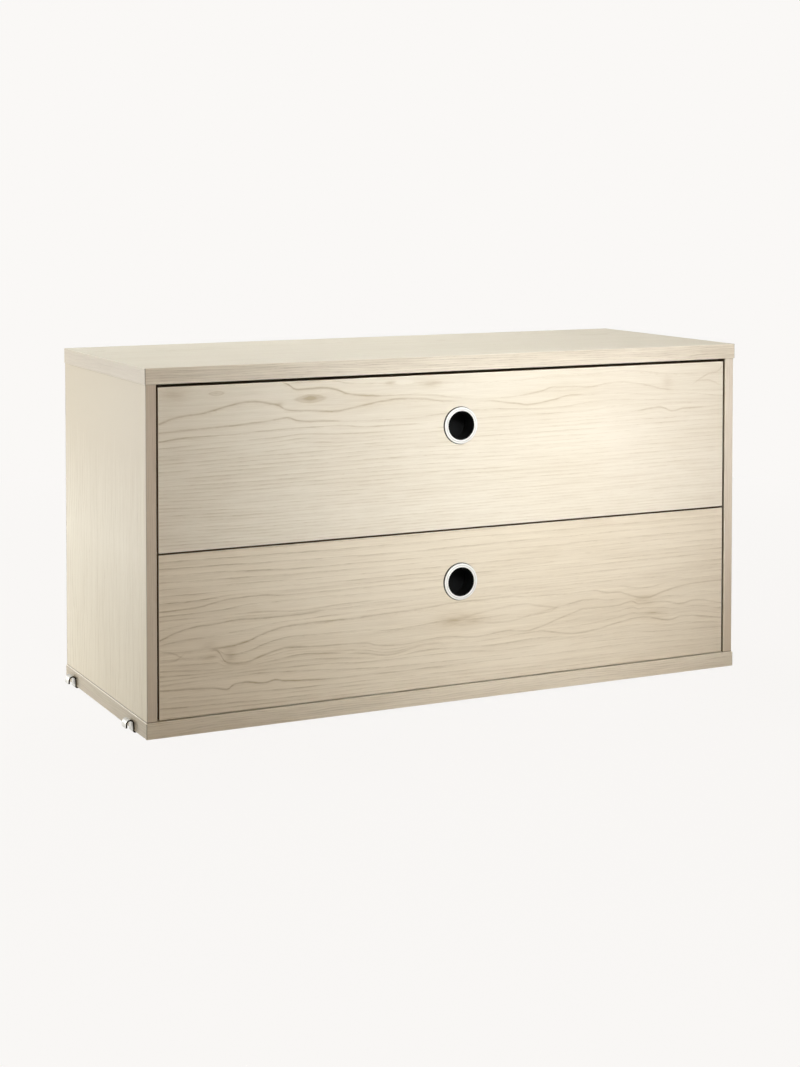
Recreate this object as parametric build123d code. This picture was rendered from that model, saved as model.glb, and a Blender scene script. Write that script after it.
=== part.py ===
from build123d import *
import os

# Chest of two drawers that hangs by four strip hooks. All sizes are in millimetres. X runs to the
# right, Y to the back and Z up. The origin is under the middle of the chest, level with the
# undersides of its hooks. Mirrored pieces are made for the right side, +X, with side = 1.

# Carcass
chest_width = 770.0
chest_depth = 300.0
panel_thickness = 18.0
side_thickness = 12.0
side_height = 368.0
side_inset = 1.0  # the side panels stand inside the ends of the top and bottom panels
side_setback = 1.5  # and behind their front edges
edge_round = 0.8
back_thickness = 6.0
back_setback = 10.0  # from the back edge of the side panels
groove_depth = 5.0
groove_slack = 0.5  # left free between a board's edge and the bottom of its groove

# Hooks, bent from plated strip. They hang over 6 mm rungs.
strip = 1.8
hook_width = 14.0
arch_radius = 3.2  # inside
arch_centre_x = 390.0
arch_centre_z = 10.0
heel_radius = 0.7  # inside the bend around the bottom panel's edge
hook_foot_length = 26.0
hook_foot_round = 3.0
hook_tip_z = 5.6
hook_places_y = (-102.0, 114.0)
hook_screw_offsets = (7.0, 19.5)  # from the bottom panel's end

# Drawer fronts and boxes
front_width = 739.0
front_height = 180.75
front_thickness = 16.0
front_setback = 2.5  # behind the front edge of the top panel
bottom_gap = 1.0
middle_gap = 2.0
box_height = 145.0
box_lift = 11.2  # from the front's lower edge up to the box
box_length = 256.5
box_board = 12.0
box_round = 1.2
drawer_bottom_thickness = 6.0
drawer_bottom_lift = 8.0  # from the box's lower edge up to the drawer bottom

# Pull ring and finger cup, turned about an axis along Y
ring_drop = 60.25  # from the front's upper edge down to the ring's centre
ring_radius = 22.0
ring_hole_radius = 17.0
ring_wall = 1.9  # height of its outer wall
ring_draft = 0.8  # the wall leans inwards by this much
ring_height = 3.4  # height of its crest
ring_shoulder = 0.5  # rounding between the wall and the dome
ring_shoulder_angle = 45.0
ring_lip = 0.6  # rounding between the crest and the hole
sleeve_radius = 19.9
sleeve_length = 13.0
bore_radius = 20.0
cup_radius = 16.95
cup_wall = 1.2
cup_recess = 0.6  # its rim lies this far behind the ring's crest
cup_flange_radius = 25.0
chamber_radius = 22.0
chamber_depth = 12.0

# Dowels
dowel_radius = 3.0
dowel_length = 22.0
dowel_slack = 0.05
dowel_chamfer = 0.6
carcass_dowel_places_y = (-125.0, -55.0, 15.0, 85.0)
front_dowel_heights = (30.0, 75.0, 120.0)
back_dowel_heights = (45.0, 110.0)

# Runners. Their sections are drawn with u, the distance from the side panel, and w, the height
# above the runner's middle.
runner_thickness = 12.7
runner_length = 250.0
runner_front_y = -128.0
runner_lift = 72.5  # from the drawer box's lower edge up to the runner's middle
sheet = 1.5
cage_sheet = 0.8
cage_web = 0.6
outer_cage_span, inner_cage_span = (2.0, 9.5), (5.2, 11.3)
ball_radius = 1.6
ball_running_slack = 0.05
outer_rail_depth, outer_rail_half_height = 10.5, 22.5
middle_rail_start, middle_rail_end, middle_rail_half_height = 3.2, 11.9, 18.6
inner_rail_end, inner_rail_half_height = 6.5, 14.7
ball_pocket_slack = 0.1
outer_ball_u, outer_ball_w = 7.0, 19.8
inner_ball_u, inner_ball_w = 8.8, 15.9
cage_length = 110.0
balls_in_row = 6
ball_pitch = 18.0
stop_gap = 0.5
stop_half_height = 10.0
access_hole_radius = 4.5
access_hole_start, access_hole_depth = 6.0, 5.0
runner_screw_places_y = (-108.0, -3.0, 102.0)

# Screws: head radius, head height, shank radius, length under the head
hook_screw = (3.5, 1.75, 1.75, 13.0)
runner_screw = (3.0, 1.45, 1.5, 10.0)
screw_slack = 0.05
screw_tip = 3.0
recess_length = 3.6
recess_width = 0.8
recess_depth = 0.9

# Places worked out from the sizes above
front_edge_y = -chest_depth / 2
back_edge_y = chest_depth / 2
panel_end_x = chest_width / 2
side_outer_x = panel_end_x - side_inset
side_inner_x = side_outer_x - side_thickness
floor_z = strip + panel_thickness
ceiling_z = floor_z + side_height
top_z = ceiling_z + panel_thickness
back_rear_y = back_edge_y - back_setback
back_front_y = back_rear_y - back_thickness
face_y = front_edge_y + front_setback
front_rear_y = face_y + front_thickness
box_outer_x = side_inner_x - runner_thickness
box_inner_x = box_outer_x - box_board
box_rear_y = front_rear_y + box_length
box_back_y = box_rear_y - box_board
runner_rear_y = runner_front_y + runner_length
runner_middle_y = runner_front_y + runner_length / 2
drawer_floors = {
    "bottom": floor_z + bottom_gap,
    "top": floor_z + bottom_gap + front_height + middle_gap,
}
sides = {"left": -1, "right": 1}


def block(x_span, y_span, z_span):
    spans = (x_span, y_span, z_span)
    middle = [(low + high) / 2 for low, high in spans]
    size = [high - low for low, high in spans]
    return Pos(*middle) * Box(*size)


def both_ways(half):
    return (-half, half)


# A board with its edges rounded
def rounded_board(x_span, y_span, z_span, radius):
    board = block(x_span, y_span, z_span)
    return fillet(board.edges(), radius)


# A pin from a point along a direction, such as a dowel
def pin(start, direction, radius, length):
    place = Plane(origin=start, z_dir=direction)
    return place * Cylinder(radius, length, align=(Align.CENTER, Align.CENTER, Align.MIN))


# A dowel half in each board, with the joint's plane at its middle
def dowel(middle, direction):
    length = dowel_length - 2 * dowel_slack
    start = Vector(middle) - Vector(direction) * (length / 2)
    peg = pin(start, direction, dowel_radius, length)
    rims = peg.edges().filter_by(GeomType.CIRCLE)
    return chamfer(rims, dowel_chamfer)


def dowel_hole(middle, direction):
    start = Vector(middle) - Vector(direction) * (dowel_length / 2)
    return pin(start, direction, dowel_radius + dowel_slack, dowel_length)


# Countersunk screw whose head's face is at the point and whose tip goes along the direction
def screw(point, direction, sizes):
    head_radius, head_height, shank_radius, length = sizes
    outline = Polyline(
        (0, 0),
        (head_radius, 0),
        (shank_radius, head_height),
        (shank_radius, head_height + length - screw_tip),
        (0, head_height + length),
        close=True,
    )
    body = revolve(Plane.XZ * make_face(outline), Axis.Z)
    slot = Box(recess_length, recess_width, 2 * recess_depth)
    body -= slot + Rot(0, 0, 90) * slot
    return Plane(origin=point, z_dir=direction) * body


# The space that a screw takes, with its slack all round
def screw_hole(point, direction, sizes):
    head_radius, head_height, shank_radius, length = sizes
    outline = Polyline(
        (0, -1),
        (head_radius + screw_slack, -1),
        (head_radius + screw_slack, 0),
        (shank_radius + screw_slack, head_height),
        (shank_radius + screw_slack, head_height + length + screw_slack),
        (0, head_height + length + screw_slack),
        close=True,
    )
    body = revolve(Plane.XZ * make_face(outline), Axis.Z)
    return Plane(origin=point, z_dir=direction) * body


# Carcass

def carcass_dowel_places():
    x = side_outer_x - side_thickness / 2
    return [
        (side * x, y, z)
        for side in sides.values()
        for y in carcass_dowel_places_y
        for z in (floor_z, ceiling_z)
    ]


def hook_screw_places():
    return [
        (side * (panel_end_x - offset), y, screw_slack)
        for side in sides.values()
        for y in hook_places_y
        for offset in hook_screw_offsets
    ]


def runner_screw_places(side, runner_z):
    x = side * (side_inner_x - sheet + screw_slack)
    return [(x, y, runner_z) for y in runner_screw_places_y]


def runner_z(name):
    return drawer_floors[name] + box_lift + runner_lift


# The groove that holds the back panel, as one block cut from all four boards around it
def back_groove():
    x = side_inner_x + groove_depth
    z_span = (floor_z - groove_depth, ceiling_z + groove_depth)
    return block(both_ways(x), (back_front_y, back_rear_y), z_span)


def carcass_panel(z_low):
    x_span = both_ways(panel_end_x)
    y_span = (front_edge_y, back_edge_y)
    panel = rounded_board(x_span, y_span, (z_low, z_low + panel_thickness), edge_round)
    panel -= back_groove()
    for place in carcass_dowel_places():
        if z_low < place[2] + 1 and place[2] - 1 < z_low + panel_thickness:
            panel -= dowel_hole(place, (0, 0, 1))
    return panel


def top_panel():
    return carcass_panel(ceiling_z)


def bottom_panel():
    panel = carcass_panel(strip)
    for place in hook_screw_places():
        panel -= screw_hole(place, (0, 0, 1), hook_screw)
    return panel


def side_panel(side):
    x_span = sorted((side * side_inner_x, side * side_outer_x))
    board = block(x_span, (front_edge_y + side_setback, back_edge_y), (floor_z, ceiling_z))
    board = fillet(board.edges().filter_by(Axis.Z), edge_round)
    board -= back_groove()
    for place in carcass_dowel_places():
        if place[0] * side > 0:
            board -= dowel_hole(place, (0, 0, 1))
    for name in drawer_floors:
        for place in runner_screw_places(side, runner_z(name)):
            board -= screw_hole(place, (side, 0, 0), runner_screw)
    return board


def back_panel():
    reach = groove_depth - groove_slack
    z_span = (floor_z - reach, ceiling_z + reach)
    return block(both_ways(side_inner_x + reach), (back_front_y, back_rear_y), z_span)


def carcass_dowels():
    return [dowel(place, (0, 0, 1)) for place in carcass_dowel_places()]


# Strip bent under the panel, up its end, and over in an arch that opens downwards
def hook(side, y):
    middle = strip / 2
    heel = heel_radius + middle
    arch = arch_radius + middle
    heel_x = panel_end_x - heel_radius
    foot_x = panel_end_x - hook_foot_length
    leg_x = arch_centre_x - arch
    tip_x = arch_centre_x + arch
    foot = Line((foot_x, middle), (heel_x, middle))
    bend = CenterArc((heel_x, middle + heel), heel, -90, 90)
    leg = Line((leg_x, middle + heel), (leg_x, arch_centre_z))
    crown = CenterArc((arch_centre_x, arch_centre_z), arch, 180, -180)
    tip = Line((tip_x, arch_centre_z), (tip_x, hook_tip_z))
    path = Plane.XZ * (foot + bend + leg + crown + tip)
    section = Plane(origin=path @ 0, x_dir=(0, 1, 0), z_dir=path % 0) * Rectangle(hook_width, strip)
    body = sweep(section, path)
    ends = body.edges().group_by(Axis.X)[0].filter_by(Axis.Z)
    body = fillet(ends, hook_foot_round)
    tips = body.faces().filter_by(Axis.Z).sort_by(Axis.X)[-1]
    body = fillet(tips.edges().filter_by(Axis.Y), strip / 2 - 0.1)
    if side < 0:
        body = mirror(body, Plane.YZ)
    body = Pos(0, y, 0) * body
    for place in hook_screw_places():
        if place[0] * side > 0 and abs(place[1] - y) < hook_width:
            body -= screw_hole(place, (0, 0, 1), hook_screw)
    return body


def hook_screws():
    return [screw(place, (0, 0, 1), hook_screw) for place in hook_screw_places()]


# Runners

# A channel's section, open away from the side panel where toward is 1 and towards it where -1
def channel(u_web, u_end, w_out, thickness, web_thickness, toward):
    u_low, u_high = sorted((u_web, u_end))
    outline = Pos((u_low + u_high) / 2, 0) * Rectangle(u_high - u_low, 2 * w_out)
    corners = outline.vertices().sort_by(Axis.X)
    web_corners = corners[:2] if toward > 0 else corners[2:]
    outline = fillet(web_corners, thickness)
    u_floor = u_web + toward * web_thickness
    u_past = u_end + toward
    hollow = Rectangle(abs(u_past - u_floor), 2 * (w_out - thickness))
    return outline - Pos((u_floor + u_past) / 2, 0) * hollow


def ball_tracks(u, w):
    groove = Circle(ball_radius + ball_running_slack)
    return Pos(u, w) * groove + Pos(u, -w) * groove


# A section becomes a rail along Y on one side of the chest, with u turned into X
def rail(section, side, middle_z, y_span):
    y_low, y_high = y_span
    place = Plane(
        origin=(side * side_inner_x, y_low, middle_z),
        x_dir=(-side, 0, 0),
        z_dir=(0, 1, 0),
    )
    return extrude(place * section, amount=y_high - y_low, dir=(0, 1, 0))


def outer_rail(side, name):
    middle_z = runner_z(name)
    section = channel(0, outer_rail_depth, outer_rail_half_height, sheet, sheet, 1)
    section -= ball_tracks(outer_ball_u, outer_ball_w)
    y_rear = runner_rear_y + stop_gap + sheet
    body = rail(section, side, middle_z, (runner_front_y, y_rear))
    x_span = sorted((side * side_inner_x, side * (side_inner_x - outer_rail_depth)))
    z_span = (middle_z - stop_half_height, middle_z + stop_half_height)
    body += block(x_span, (y_rear - sheet, y_rear), z_span)
    for place in runner_screw_places(side, middle_z):
        body -= screw_hole(place, (side, 0, 0), runner_screw)
    return body


def middle_rail(side, name):
    middle_z = runner_z(name)
    section = channel(middle_rail_start, middle_rail_end, middle_rail_half_height, sheet, sheet, 1)
    section -= ball_tracks(outer_ball_u, outer_ball_w)
    section -= ball_tracks(inner_ball_u, inner_ball_w)
    body = rail(section, side, middle_z, (runner_front_y, runner_rear_y))
    for y in runner_screw_places_y:
        start = (side * (side_inner_x - access_hole_start), y, middle_z)
        body -= pin(start, (side, 0, 0), access_hole_radius, access_hole_depth)
    return body


def inner_rail(side, name):
    middle_z = runner_z(name)
    section = channel(runner_thickness, inner_rail_end, inner_rail_half_height, sheet, sheet, -1)
    section -= ball_tracks(inner_ball_u, inner_ball_w)
    body = rail(section, side, middle_z, (runner_front_y, runner_rear_y))
    for place in inner_rail_screw_places(side, name):
        body -= screw_hole(place, (-side, 0, 0), runner_screw)
    return body


def inner_rail_screw_places(side, name):
    x = side * (box_outer_x + sheet - screw_slack)
    return [(x, y, runner_z(name)) for y in runner_screw_places_y]


def ball_places(side, name, ball_u, ball_w):
    first = runner_middle_y - (balls_in_row - 1) / 2 * ball_pitch
    x = side * (side_inner_x - ball_u)
    return [
        (x, first + row * ball_pitch, runner_z(name) + way * ball_w)
        for way in (-1, 1)
        for row in range(balls_in_row)
    ]


def ball_cage(side, name, u_span, ball_u, ball_w):
    section = channel(*u_span, ball_w + cage_sheet / 2, cage_sheet, cage_web, 1)
    y_span = (runner_middle_y - cage_length / 2, runner_middle_y + cage_length / 2)
    body = rail(section, side, runner_z(name), y_span)
    for x, y, z in ball_places(side, name, ball_u, ball_w):
        pocket = Pos(x, y, z) * Cylinder(ball_radius + ball_pocket_slack, 2 * cage_sheet)
        body -= pocket
    return body


def outer_cage(side, name):
    return ball_cage(side, name, outer_cage_span, outer_ball_u, outer_ball_w)


def inner_cage(side, name):
    return ball_cage(side, name, inner_cage_span, inner_ball_u, inner_ball_w)


def balls(side, name, ball_u, ball_w):
    return [Pos(*place) * Sphere(ball_radius) for place in ball_places(side, name, ball_u, ball_w)]


# Drawers

def ring_centre(name):
    return (0, face_y, drawer_floors[name] + front_height - ring_drop)


# Turns an outline of (radius, distance behind the front's face) about the pull's axis
def turned(outline, name):
    shape = revolve(Plane.XZ * make_face(outline), Axis.Z)
    return Plane(origin=ring_centre(name), x_dir=(1, 0, 0), z_dir=(0, 1, 0)) * shape


def pull_ring(name):
    wall_end = (ring_radius - ring_draft, -ring_wall)
    crest = (ring_hole_radius + ring_lip, -ring_height)
    hole_start = (ring_hole_radius, -ring_height + ring_lip)
    outer_wall = Line((ring_radius, 0), wall_end)
    shoulder = JernArc(wall_end, (-ring_draft, -ring_wall), ring_shoulder, -ring_shoulder_angle)
    dome = Line(shoulder @ 1, crest)
    lip = CenterArc((crest[0], hole_start[1]), ring_lip, -90, -90)
    rest = Polyline(
        hole_start,
        (ring_hole_radius, sleeve_length),
        (sleeve_radius, sleeve_length),
        (sleeve_radius, 0),
        (ring_radius, 0),
    )
    return turned(outer_wall + shoulder + dome + lip + rest, name)


# A tube through the ring, and a wider closed chamber behind the front for the fingertip
def finger_cup(name):
    rim = cup_recess - ring_height
    tube_inner = cup_radius - cup_wall
    chamber_end = front_thickness + cup_wall + chamber_depth
    outline = Polyline(
        (tube_inner, rim),
        (cup_radius, rim),
        (cup_radius, front_thickness),
        (cup_flange_radius, front_thickness),
        (cup_flange_radius, front_thickness + cup_wall),
        (chamber_radius, front_thickness + cup_wall),
        (chamber_radius, chamber_end),
        (0, chamber_end),
        (0, chamber_end - cup_wall),
        (chamber_radius - cup_wall, chamber_end - cup_wall),
        (chamber_radius - cup_wall, front_thickness + cup_wall),
        (tube_inner, front_thickness + cup_wall),
        close=True,
    )
    return turned(outline, name)


def front_dowel_places(name):
    x = box_outer_x - box_board / 2
    base = drawer_floors[name] + box_lift
    return [
        (side * x, front_rear_y, base + height)
        for side in sides.values()
        for height in front_dowel_heights
    ]


def back_dowel_places(name):
    base = drawer_floors[name] + box_lift
    return [
        (side * box_inner_x, box_rear_y - box_board / 2, base + height)
        for side in sides.values()
        for height in back_dowel_heights
    ]


# The space cut for the drawer bottom from the front, sides and back
def bottom_groove(name):
    low = drawer_floors[name] + box_lift + drawer_bottom_lift
    x = box_inner_x + groove_depth
    y_span = (front_rear_y - groove_depth, box_back_y + groove_depth)
    return block(both_ways(x), y_span, (low, low + drawer_bottom_thickness))


def drawer_front(name):
    low = drawer_floors[name]
    z_span = (low, low + front_height)
    board = rounded_board(both_ways(front_width / 2), (face_y, front_rear_y), z_span, edge_round)
    board -= pin(ring_centre(name), (0, 1, 0), bore_radius, front_thickness)
    board -= bottom_groove(name)
    for place in front_dowel_places(name):
        board -= dowel_hole(place, (0, 1, 0))
    return board


def box_side(side, name):
    low = drawer_floors[name] + box_lift
    x_span = sorted((side * box_inner_x, side * box_outer_x))
    board = block(x_span, (front_rear_y, box_rear_y), (low, low + box_height))
    top_edges = board.faces().sort_by(Axis.Z)[-1].edges().filter_by(Axis.Y)
    board = fillet(top_edges, box_round)
    board -= bottom_groove(name)
    for place in front_dowel_places(name):
        board -= dowel_hole(place, (0, 1, 0))
    for place in back_dowel_places(name):
        board -= dowel_hole(place, (1, 0, 0))
    for place in inner_rail_screw_places(side, name):
        board -= screw_hole(place, (-side, 0, 0), runner_screw)
    return board


def box_back(name):
    low = drawer_floors[name] + box_lift
    board = block(both_ways(box_inner_x), (box_back_y, box_rear_y), (low, low + box_height))
    top_edges = board.faces().sort_by(Axis.Z)[-1].edges().filter_by(Axis.X)
    board = fillet(top_edges, box_round)
    board -= bottom_groove(name)
    for place in back_dowel_places(name):
        board -= dowel_hole(place, (1, 0, 0))
    return board


def box_bottom(name):
    reach = groove_depth - groove_slack
    low = drawer_floors[name] + box_lift + drawer_bottom_lift
    y_span = (front_rear_y - reach, box_back_y + reach)
    return block(both_ways(box_inner_x + reach), y_span, (low, low + drawer_bottom_thickness))


def drawer_dowels(name):
    pegs = [dowel(place, (0, 1, 0)) for place in front_dowel_places(name)]
    pegs += [dowel(place, (1, 0, 0)) for place in back_dowel_places(name)]
    return pegs


def carcass_nodes():
    nodes = {
        "top_panel": top_panel(),
        "bottom_panel": bottom_panel(),
        "back_panel": back_panel(),
        "carcass_dowels": carcass_dowels(),
        "hook_screws": hook_screws(),
    }
    for hand, side in sides.items():
        nodes[f"{hand}_side_panel"] = side_panel(side)
        for place, y in zip(("front", "rear"), hook_places_y):
            nodes[f"{place}_{hand}_hook"] = hook(side, y)
    outer_screws = []
    for name in drawer_floors:
        for side in sides.values():
            places = runner_screw_places(side, runner_z(name))
            outer_screws += [screw(place, (side, 0, 0), runner_screw) for place in places]
    nodes["outer_rail_screws"] = outer_screws
    return nodes


def runner_nodes(name):
    nodes = {}
    for hand, side in sides.items():
        label = f"{name}_{hand}"
        nodes[f"{label}_outer_rail"] = outer_rail(side, name)
        nodes[f"{label}_middle_rail"] = middle_rail(side, name)
        nodes[f"{label}_inner_rail"] = inner_rail(side, name)
        nodes[f"{label}_outer_cage"] = outer_cage(side, name)
        nodes[f"{label}_inner_cage"] = inner_cage(side, name)
        nodes[f"{label}_outer_balls"] = balls(side, name, outer_ball_u, outer_ball_w)
        nodes[f"{label}_inner_balls"] = balls(side, name, inner_ball_u, inner_ball_w)
    return nodes


def drawer_nodes(name):
    inner_screws = []
    for side in sides.values():
        places = inner_rail_screw_places(side, name)
        inner_screws += [screw(place, (-side, 0, 0), runner_screw) for place in places]
    return {
        f"{name}_drawer_front": drawer_front(name),
        f"{name}_drawer_left_side": box_side(-1, name),
        f"{name}_drawer_right_side": box_side(1, name),
        f"{name}_drawer_back": box_back(name),
        f"{name}_drawer_bottom": box_bottom(name),
        f"{name}_drawer_dowels": drawer_dowels(name),
        f"{name}_pull_ring": pull_ring(name),
        f"{name}_finger_cup": finger_cup(name),
        f"{name}_inner_rail_screws": inner_screws,
    }


def main():
    os.makedirs("parts", exist_ok=True)
    nodes = carcass_nodes()
    for name in drawer_floors:
        nodes.update(runner_nodes(name))
        nodes.update(drawer_nodes(name))
    for node, shape in nodes.items():
        pieces = shape if isinstance(shape, list) else [shape]
        solids = [solid for piece in pieces for solid in piece.solids()]
        export_step(Compound(solids), f"parts/{node}.step")
    print(len(nodes), "nodes,", round(top_z, 2), "mm high")


main()
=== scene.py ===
import bpy
import math
from functools import partial
from itertools import pairwise
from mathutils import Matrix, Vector


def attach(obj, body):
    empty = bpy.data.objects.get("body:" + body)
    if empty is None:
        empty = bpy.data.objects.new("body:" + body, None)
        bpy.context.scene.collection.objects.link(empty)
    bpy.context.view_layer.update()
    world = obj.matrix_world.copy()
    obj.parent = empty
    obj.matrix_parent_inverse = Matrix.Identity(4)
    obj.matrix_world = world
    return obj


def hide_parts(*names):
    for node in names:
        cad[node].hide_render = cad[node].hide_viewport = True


# A chest of two drawers in pale ash veneer, hung by four strip hooks.
# Lengths in the dictionaries are in millimetres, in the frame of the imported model.
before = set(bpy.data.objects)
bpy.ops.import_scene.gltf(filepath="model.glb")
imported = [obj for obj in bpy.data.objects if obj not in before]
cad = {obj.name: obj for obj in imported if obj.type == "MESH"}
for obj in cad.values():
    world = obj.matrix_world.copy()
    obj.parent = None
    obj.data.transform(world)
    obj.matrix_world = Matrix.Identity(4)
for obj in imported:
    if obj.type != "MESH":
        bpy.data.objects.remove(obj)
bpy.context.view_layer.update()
drawers = ("bottom", "top")
hands = {"left": -1, "right": 1}
mm = 0.001
print("frame loaded,", len(cad), "nodes")


def srgb(red, green, blue):
    # a colour as it looks on screen, for a linear socket
    linear = []
    for value in (red, green, blue):
        part = value / 255
        linear.append(part / 12.92 if part <= 0.04045 else ((part + 0.055) / 1.055) ** 2.4)
    return (*linear, 1.0)


# Camera, at the photograph's place and angle
view = {
    "x": -1076.43, "y": -2175.79, "z": 600.44, "down": 2.297, "turn": -25.914, "lens": 66.878,
    "shiftRight": 0.00944, "shiftUp": -0.25,
}


def placeCamera():
    bpy.ops.object.camera_add(location=Vector((view["x"], view["y"], view["z"])) * mm)
    camera = bpy.context.object
    camera.name = "camera"
    camera.rotation_euler = (math.radians(90 - view["down"]), 0, math.radians(view["turn"]))
    camera.data.lens = view["lens"]
    camera.data.sensor_width = 36
    camera.data.shift_x = view["shiftRight"]
    camera.data.shift_y = view["shiftUp"]
    camera.data.clip_start = 0.01
    bpy.context.scene.camera = camera


placeCamera()
print("camera placed")


# Tools for new pieces. Points and lengths are in millimetres.
def selectOnly(*pieces):
    bpy.ops.object.select_all(action="DESELECT")
    for piece in pieces:
        piece.select_set(True)
    bpy.context.view_layer.objects.active = pieces[0]


def startPiece(name, point):
    # one point, ready to be extruded
    bpy.ops.object.select_all(action="DESELECT")
    bpy.ops.mesh.primitive_plane_add(size=mm)
    piece = bpy.context.object
    piece.name = name
    bpy.ops.object.mode_set(mode="EDIT")
    bpy.ops.mesh.select_all(action="SELECT")
    bpy.ops.mesh.merge(type="CENTER")
    bpy.ops.transform.translate(value=Vector(point) * mm)
    return piece


def extrude(*step):
    bpy.ops.mesh.extrude_region_move(TRANSFORM_OT_translate={"value": Vector(step) * mm})


def turn(center, axis, degrees, steps):
    bpy.ops.mesh.spin(steps=steps, angle=math.radians(degrees), center=Vector(center) * mm, axis=axis)


def closeTurned():
    bpy.ops.mesh.select_all(action="SELECT")
    bpy.ops.mesh.remove_doubles(threshold=0.002 * mm)
    bpy.ops.mesh.normals_make_consistent(inside=False)
    bpy.ops.object.mode_set(mode="OBJECT")


# Selects the points of the edited mesh that pass the test, and leaves edit mode on
def pick(piece, test):
    bpy.ops.mesh.select_all(action="DESELECT")
    bpy.ops.mesh.select_mode(type="VERT")
    bpy.ops.object.mode_set(mode="OBJECT")
    for vertex in piece.data.vertices:
        vertex.select = test(vertex.co / mm)
    bpy.ops.object.mode_set(mode="EDIT")


def near(point, reach=0.02):
    return lambda place: (place - Vector(point)).length < reach


def smoothen(piece, degrees=30):
    selectOnly(piece)
    bpy.ops.object.shade_smooth_by_angle(angle=math.radians(degrees))


def applyModifier(piece, kind, **settings):
    selectOnly(piece)
    modifier = piece.modifiers.new(kind, kind)
    for name, value in settings.items():
        setattr(modifier, name, value)
    bpy.ops.object.modifier_apply(modifier=modifier.name)


def cutAway(piece, cutter):
    applyModifier(piece, "BOOLEAN", operation="DIFFERENCE", solver="EXACT", object=cutter)
    bpy.data.objects.remove(cutter, do_unlink=True)


# An outline of (radius, depth) corners with their roundings, turned about a line along Y
def turned(name, center, corners, steps):
    x, y, z = center
    points = [(x + radius, y + depth, z) for radius, depth, rounding in corners]
    piece = startPiece(name, points[0])
    for before, after in pairwise(corners):
        extrude(after[0] - before[0], after[1] - before[1], 0)
    if corners[0][0]:
        # an outline that doesn't reach the axis is closed
        pick(piece, lambda place: near(points[0])(place) or near(points[-1])(place))
        bpy.ops.mesh.edge_face_add()
    for point, (radius, depth, rounding) in zip(points, corners):
        if rounding:
            pick(piece, near(point))
            bpy.ops.mesh.bevel(offset=rounding * mm, segments=4, affect="VERTICES")
    bpy.ops.mesh.select_all(action="SELECT")
    turn(center, (0, 1, 0), 360, steps)
    closeTurned()
    return piece


# Hooks: strip bent under the bottom panel, up its end and over in an arch that opens downwards
hookShape = {
    "strip": 1.8, "width": 14.0, "footX": 359.0, "panelX": 385.0, "heel": 0.7, "archX": 390.0, "archZ": 10.0,
    "arch": 3.2, "tipZ": 5.6, "placesY": {"front": -102.0, "rear": 114.0}, "footRound": 3.0, "tipRound": 0.9,
    "edge": 0.16, "screwX": (378.0, 365.5), "sinkRadius": 3.62, "sinkDepth": 1.84, "sinkPoint": 1.8,
    "bendSteps": 8, "archSteps": 24,
}


def makeHook(name, side, y):
    middle = hookShape["strip"] / 2
    heel = hookShape["heel"] + middle
    arch = hookShape["arch"] + middle
    front = y - hookShape["width"] / 2
    heelX = hookShape["panelX"] - hookShape["heel"]
    archX, archZ, tipZ = hookShape["archX"], hookShape["archZ"], hookShape["tipZ"]
    hook = startPiece(name, (side * hookShape["footX"], front, middle))
    extrude(side * (heelX - hookShape["footX"]), 0, 0)
    turn((side * heelX, front, middle + heel), (0, 1, 0), side * 90, hookShape["bendSteps"])
    extrude(0, 0, archZ - middle - heel)
    turn((side * archX, front, archZ), (0, 1, 0), -side * 180, hookShape["archSteps"])
    extrude(0, 0, tipZ - archZ)
    bpy.ops.mesh.select_all(action="SELECT")
    extrude(0, hookShape["width"], 0)
    ends = ((side * hookShape["footX"], middle, "footRound"), (side * (archX + arch), tipZ, "tipRound"))
    for x, z, rounding in ends:
        pick(hook, lambda place: abs(place.x - x) < 0.05 and abs(place.z - z) < 0.05)
        bpy.ops.mesh.bevel(offset=hookShape[rounding] * mm, segments=6, affect="VERTICES")
    closeTurned()
    applyModifier(hook, "SOLIDIFY", thickness=hookShape["strip"] * mm, offset=0.0, use_even_offset=True)
    applyModifier(hook, "BEVEL", width=hookShape["edge"] * mm, segments=2, limit_method="ANGLE")
    for screwX in hookShape["screwX"]:
        sinkHead(hook, (side * screwX, y))
    smoothen(hook)
    return hook


# Cuts a countersink from below. The cutter starts a little under the strip.
def sinkHead(hook, place):
    below = 0.02
    depth = hookShape["sinkDepth"] + below
    bpy.ops.mesh.primitive_cone_add(
        vertices=64, radius1=(hookShape["sinkRadius"] + below) * mm, radius2=hookShape["sinkPoint"] * mm,
        depth=depth * mm, location=Vector((*place, depth / 2 - below)) * mm)
    cutAway(hook, bpy.context.object)


# Countersunk screws with a cross recess and a thread. A screw is drawn standing on its head, with its tip up.
screwShapes = {
    "hook": {"head": 3.5, "headHeight": 1.75, "shank": 1.75, "length": 13.0, "tip": 3.0, "rim": 0.18,
             "core": 1.3, "pitch": 1.1, "plain": 3.0},
    "rail": {"head": 3.0, "headHeight": 1.45, "shank": 1.5, "length": 10.0, "tip": 3.0, "rim": 0.16,
             "core": 1.1, "pitch": 1.0, "plain": 1.2},
}
# below its plain part a screw narrows to the core of its thread, and at the end to a point
screwEnds = {"narrowing": 0.4, "point": 0.9, "pointShare": 0.45, "steps": 40}
crossRecess = {"length": 3.6, "width": 0.8, "depth": 0.9}
# the ridge starts inside the core and ends just inside the shank's width
threadShape = {
    "sink": 0.05, "inside": 0.02, "flank": 0.22, "crest": 0.06, "start": 0.2, "stop": 1.2, "steps": 28,
}


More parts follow.
